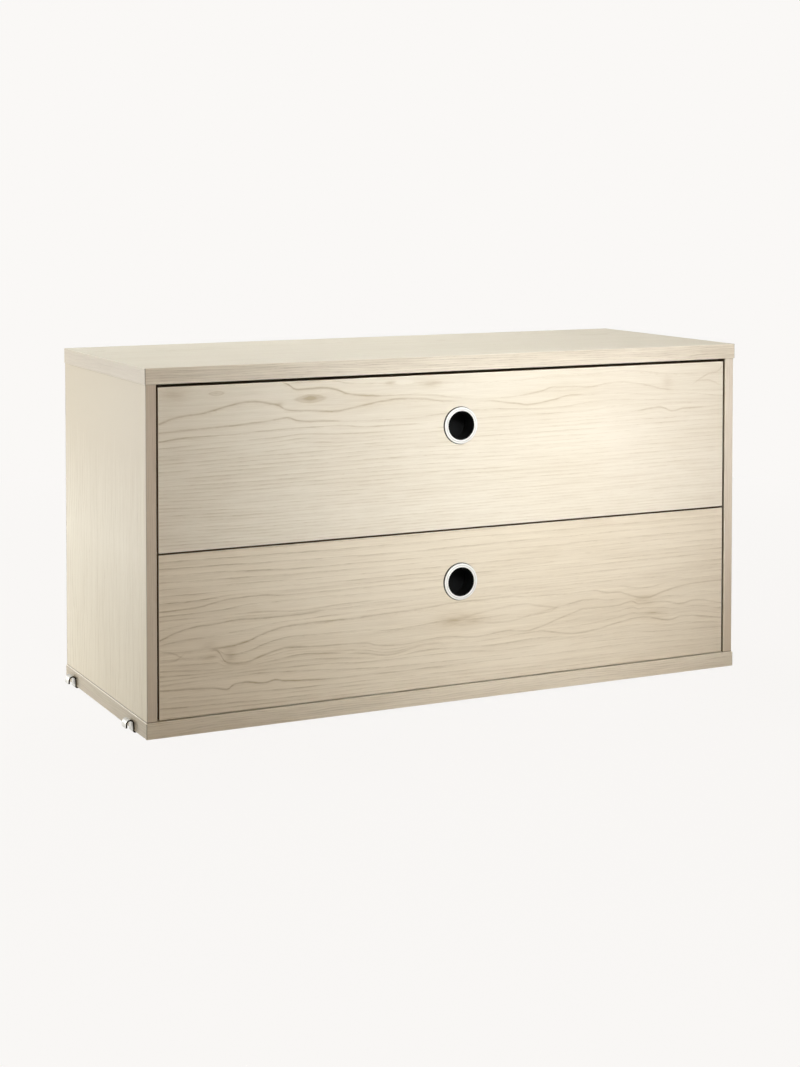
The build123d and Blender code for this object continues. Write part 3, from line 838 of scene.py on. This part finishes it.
# The figure of a board's face, edges and ends
def boardFigure(tree, node, board, place, looks):
    lay = boardLays[board["face"]]
    lays = {axis: combine(*[place[part] for part in lay[axis]]) for axis in "XYZ"}
    vector = blend(looks["X"], lays["Y"], lays["X"], "VECTOR")
    along, deep, across = split(blend(looks["Z"], vector, lays["Z"], "VECTOR")).values()
    isFace = looks[board["face"]]
    # depth is counted from the face
    inward = abs(place[board["face"]] - board["faceAt"])
    vector = combine(along, blendValues(isFace, deep, inward), across)
    rings = useGroup(tree, growthRings, {
        "Vector": vector,
        "Heart Across": blendValues(isFace, edging["heart"], board.get("heart", 0)),
        "Heart Depth": blendValues(isFace, edging["depth"], board.get("depth", 0)),
        "Ring Width": blendValues(isFace, edging["ringWidth"], board.get("ringWidth", 4)),
        "Wander": board.get("wander", 1),
        "Seed": board["seed"],
    })
    count, width, shade, strength = rings["Count"], rings["Width"], 0.0, board["strength"]
    # painted shade: the face grows darker towards the top
    if "paintedShadeAbove" in board:
        low, high, amount = board["paintedShadeAbove"]
        shade = isFace * spread(place["Z"], low, high, 0.0, amount)
    if node in frontFigures:
        ownCount, ownWidth, ownShade = frontFigure(vector, board, frontFigures[node])
        count = blendValues(isFace, count, ownCount)
        width = blendValues(isFace, width, ownWidth)
        shade = isFace * ownShade
        strengths = (strength * lineFade["left"], strength * lineFade["right"])
        strength = spread(place["X"], lineFade["fromX"], lineFade["toX"], *strengths)
    return useGroup(tree, ashFigure, {
        "Vector": vector, "Count": count, "Width": width, "Seed": board["seed"], "Shade": shade,
        "Line Strength": strength, **edgeTones(board, looks, isFace, place["Z"]),
    })


# Thin lines along corners, joints and inner edges: a dark line in the corners, painted highlights on the
# ledge and the inner edges, and painted shade along the joints
def edgeLinesLightAndShade(node, board, place, looks, color):
    if "corner" in board:
        endX, frontY, share = board["corner"]
        away = calc("MAXIMUM", endX - abs(place["X"]), abs(frontY) - abs(place["Y"]))
        color = blendColors(thinLine(away, darkCornerLine) * share, color, darkCornerLine["color"])
    # painted highlight along the upper edge of the bottom panel's ledge
    if node == "bottom_panel":
        pale = thinLine(ledgeHighlight["height"] - place["Z"], ledgeHighlight) * (abs(place["X"]) > ledgeHighlight["from"])
        color = blendColors(pale, color, ledgeHighlight["color"])
    if board["face"] == "X":
        # painted highlight along the side panels' inner front edges
        pale = thinLine(abs(place["X"]) - innerEdgeHighlight["from"], innerEdgeHighlight) * looks["Y"]
        color = blendColors(pale, color, innerEdgeHighlight["color"])
        # painted shade along the joints with the top and bottom panels
        color = blendColors(jointShadeLine(place["Z"]), color, jointShade["color"])
    return color


# The pale and the line colour of the face, of the edges and of the ends
def edgeTones(board, looks, isFace, height):
    tones = {}
    for label, face, edge, end in (("Pale", "pale", "edge", "end"), ("Line", "line", "edgeLine", "endLine")):
        tone = board[edge]
        # painted light: the edge is lighter towards the top
        if edge == "edge" and "paintedLightEdge" in board:
            tone = blendColors(spread(height, *paintedLightHeights), tone, board["paintedLightEdge"])
        if end in board:
            tone = blendColors(looks["X"], tone, board[end])
        tones[label] = blendColors(isFace, tone, board[face])
    return tones


def thinLine(away, line):
    # full strength up to a share of its reach, and gone at its reach
    return spread(away, line["reach"] * line.get("full", 0.5), line["reach"], line["strength"], 0.0)


def jointShadeLine(height):
    mark = 0.0
    for joint, strength in jointShade["joints"]:
        mark = calc("MAXIMUM", mark, thinLine(abs(height - joint), {**jointShade, "strength": strength}))
    return mark


def inGap(place):
    inside = abs(place["X"]) < gapShade["halfWidth"]
    shade = spread(place["Y"], *gapShade["front"], 0.0, gapShade["strength"])
    return shade * spread(place["Y"], *gapShade["back"], 1.0, 0.0) * inside


# The depth of a course at each x, as a curve. Curves run from 0 to 1, so both are scaled.
courseScale = {"x": (-370, 370), "depth": (-20, 200)}


def courseDepth(x, points):
    (left, right), (top, bottom) = courseScale["x"], courseScale["depth"]
    node = newNode(treeOf(x), "FloatCurve", {"Value": spread(x, left, right)})
    curve = node.mapping.curves[0]
    for index, (pointX, depth) in enumerate(points):
        at = ((pointX - left) / (right - left), (depth - top) / (bottom - top))
        if index < 2:
            curve.points[index].location = at
        else:
            curve.points.new(*at)
    for point in curve.points:
        point.handle_type = "AUTO_CLAMPED"
    node.mapping.update()
    return spread(Wire(node.outputs[0]), 0.0, 1.0, top, bottom)


# Count, width and extra shade of a drawer front's face. Drawn lines waver a little, rings waver more.
def frontFigure(vector, board, figure):
    x, deep, across = split(vector).values()
    noise = partial(grainNoise, (x, deep, across), board["seed"])
    drawn = addWaves(board["upperEdge"] - across, noise, drawnWaves)
    depth = addWaves(drawn, noise, frontWaves)
    lines = {}
    for name, (rings, left, points, right) in figure["courses"].items():
        lines[name] = courseDepth(x, [(-halfFront, left), *points, (halfFront, right)])
    count, width, shade = 0.0, 4.0, 0.0
    for upper, lower in pairwise(lines):
        between = figure["courses"][upper][0]
        gap = calc("MAXIMUM", lines[lower] - lines[upper], 1.0)
        count = calc("DIVIDE", depth - lines[upper], gap, clamp=True) * between + count
        width = blendValues(depth > lines[upper], width, gap / between)
    for eye in figure["eyes"]:
        count, shade = growEye(count, shade, x, drawn, *eye)
    for course, fromX, toX, thick, strength in figure["strokes"]:
        onCourse = isinstance(course, str)
        off = depth - lines[course] if onCourse else drawn - courseDepth(x, course)
        away = abs(x - (fromX + toX) / 2)
        half = (toX - fromX) / 2
        ends = (half - strokeEnd["inside"], half + strokeEnd["outside"])
        mark = bell(off / thick) * spread(away, *ends, 1.0, 0.0)
        patchy = spread(noise(30, 8, 8, shift=91), *patches["stroke"])
        shade = mark * patchy * strength + shade
    for smudgeX, smudgeDepth, halfLength, halfHeight, strength in figure["smudges"]:
        a, b = (x - smudgeX) / halfLength, (drawn - smudgeDepth) / halfHeight
        blot = calc("EXPONENT", (a * a + b * b) * -1.0)
        ragged = spread(noise(22, 3, 3, shift=97), *patches["smudge"])
        shade = blot * ragged * strength + shade
    return count, width, shade


# A knot's eye: rings bend round it, and it has a rim and a filling of its own
def growEye(count, shade, x, drawn, eyeX, eyeDepth, halfLength, halfHeight, lift, outline, filling):
    farAlong = abs((x - eyeX) / halfLength) ** eyeShape["alongPower"]
    far = farAlong + abs((drawn - eyeDepth) / halfHeight) ** eyeShape["acrossPower"]
    count = calc("EXPONENT", far * eyeShape["fall"]) * lift + count
    rim = bell((far - 1.0) / eyeShape["rim"])
    filled = calc("EXPONENT", far ** 2.0 * eyeShape["core"])
    return count, filled * filling + (rim * outline + shade)


def paint(piece, material):
    piece.data.materials.clear()
    piece.data.materials.append(material)


for node, board in ashBoards.items():
    paint(cad[node], ashMaterial(node.replace("_", " ") + " ash", node, board))
print("ash boards dressed")


# Marks of making and handling, shared by metals and plastics. Vector is (along, across, across) in
# millimetres. Smudge is a soft cloudy mask, Scratch is thin lines along the first axis, and Grain is fine and
# about zero.
def makeSurfaceMarks():
    inputs = {"Vector": "Vector", "Seed": "Float", "Scratch Length": "Float", "Smudge Size": "Float"}
    outputs = dict.fromkeys(("Smudge", "Scratch", "Grain"), "Float")
    group, given, out = newGroup("surfaceMarks", inputs, outputs)
    noise = partial(grainNoise, tuple(split(given["Vector"]).values()), given["Seed"])
    smudge = noise(*[given["Smudge Size"]] * 3, detail=4, shift=3)
    scratch = noise(given["Scratch Length"], 0.16, 0.16, detail=1, shift=7)
    feed(out["Smudge"], spread(smudge, -0.05, 0.16))
    feed(out["Scratch"], spread(scratch, 0.1, 0.24))
    feed(out["Grain"], noise(0.5, 0.5, 0.5, detail=2, shift=13))
    return group


def useMarks(tree, vector, seed, length, smudgeSize):
    inputs = {"Vector": vector, "Seed": seed, "Scratch Length": length, "Smudge Size": smudgeSize}
    return useGroup(tree, surfaceMarks, inputs)


surfaceMarks = makeSurfaceMarks()

# Lay gives the axis along which a piece is drawn or brushed, then the two across it
metals = {
    "nickel plate": {
        "lay": "XYZ", "seed": 2.0, "length": 12, "smudgeSize": 6, "color": (196, 195, 190),
        "worn": (168, 165, 159), "roughness": 0.5, "bump": 0.012, "cutEdge": (44, 35, 27),
    },
    "nickel screw": {
        "lay": "XYZ", "seed": 5.0, "length": 2, "smudgeSize": 3, "color": (206, 201, 193),
        "worn": (166, 158, 148), "roughness": 0.3, "bump": 0.01,
    },
    "zinc rail": {
        "lay": "YXZ", "seed": 9.0, "length": 60, "smudgeSize": 22, "color": (160, 163, 167),
        "worn": (118, 122, 128), "roughness": 0.52, "bump": 0.015,
    },
    "zinc screw": {
        "lay": "XYZ", "seed": 14.0, "length": 2, "smudgeSize": 3, "color": (178, 178, 172),
        "worn": (140, 138, 128), "roughness": 0.4, "bump": 0.01,
    },
    "ball cage steel": {
        "lay": "YXZ", "seed": 19.0, "length": 14, "smudgeSize": 8, "color": (168, 168, 166),
        "worn": (128, 126, 120), "roughness": 0.42, "bump": 0.012,
    },
    "ball steel": {
        "lay": "XYZ", "seed": 23.0, "length": 3, "smudgeSize": 1.5, "color": (226, 226, 228),
        "worn": (196, 194, 188), "roughness": 0.08, "bump": 0.002,
    },
}


def metalMaterial(name):
    look = metals[name]
    material, tree, shader = newMaterial(name)
    place = split(millimetres(tree))
    vector = combine(*[place[axis] for axis in look["lay"]])
    marks = useMarks(tree, vector, look["seed"], look["length"], look["smudgeSize"])
    wear = calc("MULTIPLY_ADD", marks["Scratch"], 0.35, marks["Smudge"] * 0.5, clamp=True)
    color = blendColors(wear, look["color"], look["worn"])
    rough = marks["Smudge"] * 0.1 + look["roughness"]
    if "cutEdge" in look:
        # the strip's cut edges, looking forward and back, are dark and rough
        cutShare = spread(abs(facing(tree)["Y"]), 0.3, 0.8)
        color = blendColors(cutShare, color, look["cutEdge"])
        rough = blendValues(cutShare, rough, 0.6)
    shader["Metallic"].default_value = 1.0
    dress(tree, shader, color, rough, marks["Grain"] * 0.6 - marks["Scratch"], 0.4, look["bump"])
    return material


# White plastic of a pull ring. Its outer wall is painted dark as painted shade, so that the ring stands off
# the front.
ringLook = {
    "white": (254, 252, 247), "dull": (240, 239, 235), "paintedCreaseShade": (206, 204, 198), "creaseRadius": 19.1,
    "creaseWidth": 0.3, "creaseHeight": 2.0, "wall": (62, 57, 48), "wallHeight": 2.3, "wallRadius": 20.9,
    "fade": 0.2, "roughness": 0.2, "bump": 0.01,
}


def ringMaterial(name, center):
    look = ringLook
    material, tree, shader = newMaterial(name)
    vector = millimetres(tree)
    place = split(vector)
    marks = useMarks(tree, vector, 31.0, 6.0, 9.0)
    across, up = place["X"] - center[0], place["Z"] - center[2]
    radius = calc("SQRT", across * across + up * up)
    height = center[1] - place["Y"]
    color = blendColors(marks["Smudge"] * 0.4, look["white"], look["dull"])
    # painted shade: a grey line in the crease of the ring's face
    paintedCreaseShade = bell((radius - look["creaseRadius"]) / look["creaseWidth"]) * (height > look["creaseHeight"])
    color = blendColors(paintedCreaseShade, color, look["paintedCreaseShade"])
    # painted shade: the ring's outer wall is dark up to its shoulder
    wall = spread(height, look["wallHeight"], look["wallHeight"] + look["fade"], 1.0, 0.0)
    wall = wall * (radius > look["wallRadius"])
    color = blendColors(wall, color, look["wall"])
    rough = wall * 0.4 + (marks["Smudge"] * 0.08 + look["roughness"])
    dress(tree, shader, color, rough, marks["Grain"], 0.3, look["bump"])
    return material


# Black plastic of the finger cups, finely eroded
cupLook = {"black": (11, 11, 11), "dusty": (20, 20, 19), "roughness": 0.55, "specular": 0.12, "bump": 0.03}


def cupMaterial(name):
    look = cupLook
    material, tree, shader = newMaterial(name)
    marks = useMarks(tree, millimetres(tree), 37.0, 5.0, 7.0)
    dust = calc("MULTIPLY_ADD", marks["Scratch"], 0.3, marks["Smudge"] * 0.4, clamp=True)
    color = blendColors(dust, look["black"], look["dusty"])
    shader["Specular IOR Level"].default_value = look["specular"]
    dress(tree, shader, color, marks["Grain"] * 0.2 + look["roughness"], marks["Grain"], 0.5, look["bump"])
    return material


# Birch plywood of the drawer boxes: thick is the axis through the plies, which show on every other face
plyLook = {
    "ply": 1.33, "pale": (231, 214, 184), "line": (203, 178, 140), "strength": 0.45, "ringWidth": 8.0,
    "longPly": (224, 203, 168), "crossPly": (191, 161, 120), "glue": (128, 98, 66), "roughness": 0.5,
    "bump": 0.05, "seam": (0.43, 0.49, 0.0, 0.8),
}
plyBoards = {
    "left_side": {"thick": "X", "lay": "YXZ", "heart": 60, "depth": 50, "seed": 41.0},
    "right_side": {"thick": "X", "lay": "YXZ", "heart": 140, "depth": 42, "seed": 47.0},
    "back": {"thick": "Y", "lay": "XYZ", "heart": 100, "depth": 46, "seed": 53.0},
    "bottom": {"thick": "Z", "lay": "XZY", "heart": -20, "depth": 60, "seed": 59.0},
}


def plyMaterial(name, board, faceAt):
    look, seed = plyLook, board["seed"]
    material, tree, shader = newMaterial(name)
    place = split(millimetres(tree))
    onFace = abs(facing(tree)[board["thick"]]) > squareOn
    parts = [place[axis] for axis in board["lay"]]
    vector = combine(*parts)
    rings = useGroup(tree, growthRings, {
        "Vector": vector, "Heart Across": board["heart"], "Heart Depth": board["depth"],
        "Ring Width": look["ringWidth"], "Wander": 1.5, "Seed": seed,
    })
    figure = useGroup(tree, ashFigure, {
        "Vector": vector, "Count": rings["Count"], "Width": rings["Width"], "Seed": seed,
        "Line Strength": look["strength"], "Pale": srgb(*look["pale"]), "Line": srgb(*look["line"]),
    })
    plies = abs(place[board["thick"]] - faceAt) / look["ply"]
    crossed = calc("FRACT", plies * 0.5) > 0.5
    streak = spread(grainNoise(parts, seed, 45, 1.2, 0.5, shift=101), -0.3, 0.3)
    speck = spread(grainNoise(parts, seed, 0.5, 0.5, 0.5, shift=103), -0.3, 0.3)
    longPly = blendColors(streak, look["longPly"], look["line"])
    crossPly = blendColors(speck, look["crossPly"], look["line"])
    seam = spread(abs(calc("FRACT", plies) - 0.5), *look["seam"])
    edge = blendColors(seam, blendColors(crossed, longPly, crossPly), look["glue"])
    color = blendColors(onFace, edge, figure["Color"])
    rough = (1.0 - onFace) * 0.12 + (figure["Fibre"] * 0.15 + look["roughness"])
    height = blendValues(onFace, speck - seam, figure["Fibre"])
    dress(tree, shader, color, rough, height, 0.5, look["bump"])
    return material


# Beech dowels, with short flecks along them and darker pores on their ends
beechLook = {
    "pale": (219, 184, 145), "fleck": (176, 132, 92), "pore": (140, 100, 66), "roughness": 0.55, "bump": 0.06,
}


def beechMaterial(name, lay, seed):
    look = beechLook
    material, tree, shader = newMaterial(name)
    place = split(millimetres(tree))
    onEnd = abs(facing(tree)[lay[0]]) > 0.8
    noise = partial(grainNoise, [place[axis] for axis in lay], seed)
    fibre = noise(14, 0.5, 0.5, shift=5)
    fleck = spread(noise(2.2, 0.25, 0.25, detail=1, shift=9), 0.08, 0.2)
    pore = spread(noise(9, 0.2, 0.2, detail=1, shift=15), 0.02, 0.2)
    mix = calc("MULTIPLY_ADD", fleck, 0.6, fibre * 0.7, clamp=True)
    color = blendColors(mix, look["pale"], look["fleck"])
    color = blendColors(pore * onEnd, color, look["pore"])
    dress(tree, shader, color, fibre * 0.2 + look["roughness"], fibre - fleck, 0.5, look["bump"])
    return material


metal = {name: metalMaterial(name) for name in metals}
cupPlastic = cupMaterial("black cup plastic")
boxFaces = {"left_side": -359.3, "right_side": 359.3, "back": 125.0}
boxFloors = {"bottom": 40.0, "top": 222.75}
paint(cad["carcass_dowels"], beechMaterial("carcass beech", "ZXY", 61.0))
for drawer in drawers:
    ring = bpy.data.objects[drawer + "PullRing"]
    paint(ring, ringMaterial(drawer + " ring plastic", pull["centers"][drawer]))
    paint(bpy.data.objects[drawer + "FingerCup"], cupPlastic)
    paint(bpy.data.objects[drawer + "InnerRailScrews"], metal["zinc screw"])
    paint(cad[drawer + "_drawer_dowels"], beechMaterial(drawer + " drawer beech", "YXZ", 67.0))
    for part, board in plyBoards.items():
        ply = plyMaterial(drawer + " " + part + " birch ply", board, boxFaces.get(part, boxFloors[drawer]))
        paint(cad[drawer + "_drawer_" + part], ply)
    for hand in hands:
        label = drawer + "_" + hand + "_"
        for rail in ("outer_rail", "middle_rail", "inner_rail"):
            paint(cad[label + rail], metal["zinc rail"])
        for cage in ("outer", "inner"):
            paint(cad[label + cage + "_cage"], metal["ball cage steel"])
            paint(cad[label + cage + "_balls"], metal["ball steel"])
for hook in hooks.values():
    paint(hook, metal["nickel plate"])
paint(bpy.data.objects["hookScrews"], metal["nickel screw"])
paint(bpy.data.objects["outerRailScrews"], metal["zinc screw"])
print("materials done")


# Floor and surround, with lengths in metres
surround = {
    "color": (250, 248, 246), "floorSize": 30.0, "floorShade": 0.035, "shadeFrom": 0.45, "shadeTo": 1.8,
}
# Lamps: what one doesn't say is as in usualLamp
usualLamp = {"aim": (0, 0, 200), "size": 800, "spread": 180}
lamps = {
    "farKeyLamp": {"at": (-800, -1500, 1200), "watts": 7.5, "tint": (255, 241, 223)},
    "sideLamp": {"at": (-1200, 1000, 150), "size": 600, "watts": 11.4, "tint": (255, 255, 253)},
    "leftTopLamp": {"at": (-700, 300, 1300), "watts": 4.3, "tint": (236, 247, 255)},
    "topLamp": {"at": (0, 900, 2000), "watts": 13.6, "tint": (255, 252, 246)},
    "rightSpot": {"at": (300, -2100, 1000), "aim": (300, -150, 340), "size": 400, "spread": 25, "watts": 0.49,
                  "tint": (255, 255, 255)},
    "rightEndLamp": {"at": (2400, 0, 200), "size": 240, "spread": 60, "watts": 2.3, "tint": (255, 252, 246)},
    "middleSpot": {"at": (-500, -2000, 1200), "aim": (0, -150, 300), "size": 400, "spread": 25, "watts": 0.69,
                   "tint": (240, 248, 255)},
}


def showsSurround(tree):
    # rays from the camera, reflections and glass see the pale surround
    path = addNode(tree, "LightPath")
    seen = calc("MAXIMUM", path["Is Camera Ray"], path["Is Glossy Ray"])
    return calc("MAXIMUM", seen, path["Is Transmission Ray"])


def makeFloor():
    bpy.ops.mesh.primitive_plane_add(size=surround["floorSize"])
    floor = bpy.context.object
    floor.name = "floor"
    material, tree, shader = newMaterial("pale floor")
    pale = srgb(*surround["color"])
    shader["Base Color"].default_value = pale
    shader["Roughness"].default_value = 0.9
    shader["Specular IOR Level"].default_value = 0.0
    glow = addNode(tree, "Emission", {"Color": pale, "Strength": 1.0})["Emission"]
    # near the chest part of the floor's light is real, so it keeps a faint shadow
    away = addNode(tree, "VectorMath", {0: addNode(tree, "TexCoord")["Object"]}, operation="LENGTH")["Value"]
    shadow = spread(away, surround["shadeFrom"], surround["shadeTo"], surround["floorShade"], 0.0)
    share = showsSurround(tree) * (1.0 - shadow)
    plain = Wire(tree.nodes["Principled BSDF"].outputs[0])
    mix = addNode(tree, "MixShader", {0: share, 1: plain, 2: glow})["Shader"]
    feed(tree.nodes["Material Output"].inputs["Surface"], mix)
    floor.data.materials.append(material)


def makeWorld():
    world = bpy.data.worlds.new("pale surround")
    bpy.context.scene.world = world
    world.use_nodes = True
    tree = world.node_tree
    background = tree.nodes["Background"].inputs
    background["Color"].default_value = srgb(*surround["color"])
    feed(background["Strength"], showsSurround(tree))


def makeLamps():
    for name, changes in lamps.items():
        lamp = {**usualLamp, **changes}
        place = Vector(lamp["at"]) * mm
        bpy.ops.object.light_add(type="AREA", location=place)
        light = bpy.context.object
        light.name = name
        light.data.shape = "DISK"
        light.data.size = lamp["size"] * mm
        light.data.energy = lamp["watts"]
        light.data.spread = math.radians(lamp["spread"])
        light.data.color = srgb(*lamp["tint"])[:3]
        light.rotation_euler = (Vector(lamp["aim"]) * mm - place).to_track_quat("-Z", "Y").to_euler()
        light.visible_camera = False


bpy.ops.object.select_all(action="DESELECT")
makeFloor()
makeWorld()
makeLamps()
bpy.context.scene.view_settings.view_transform = "Standard"
print("stage set")
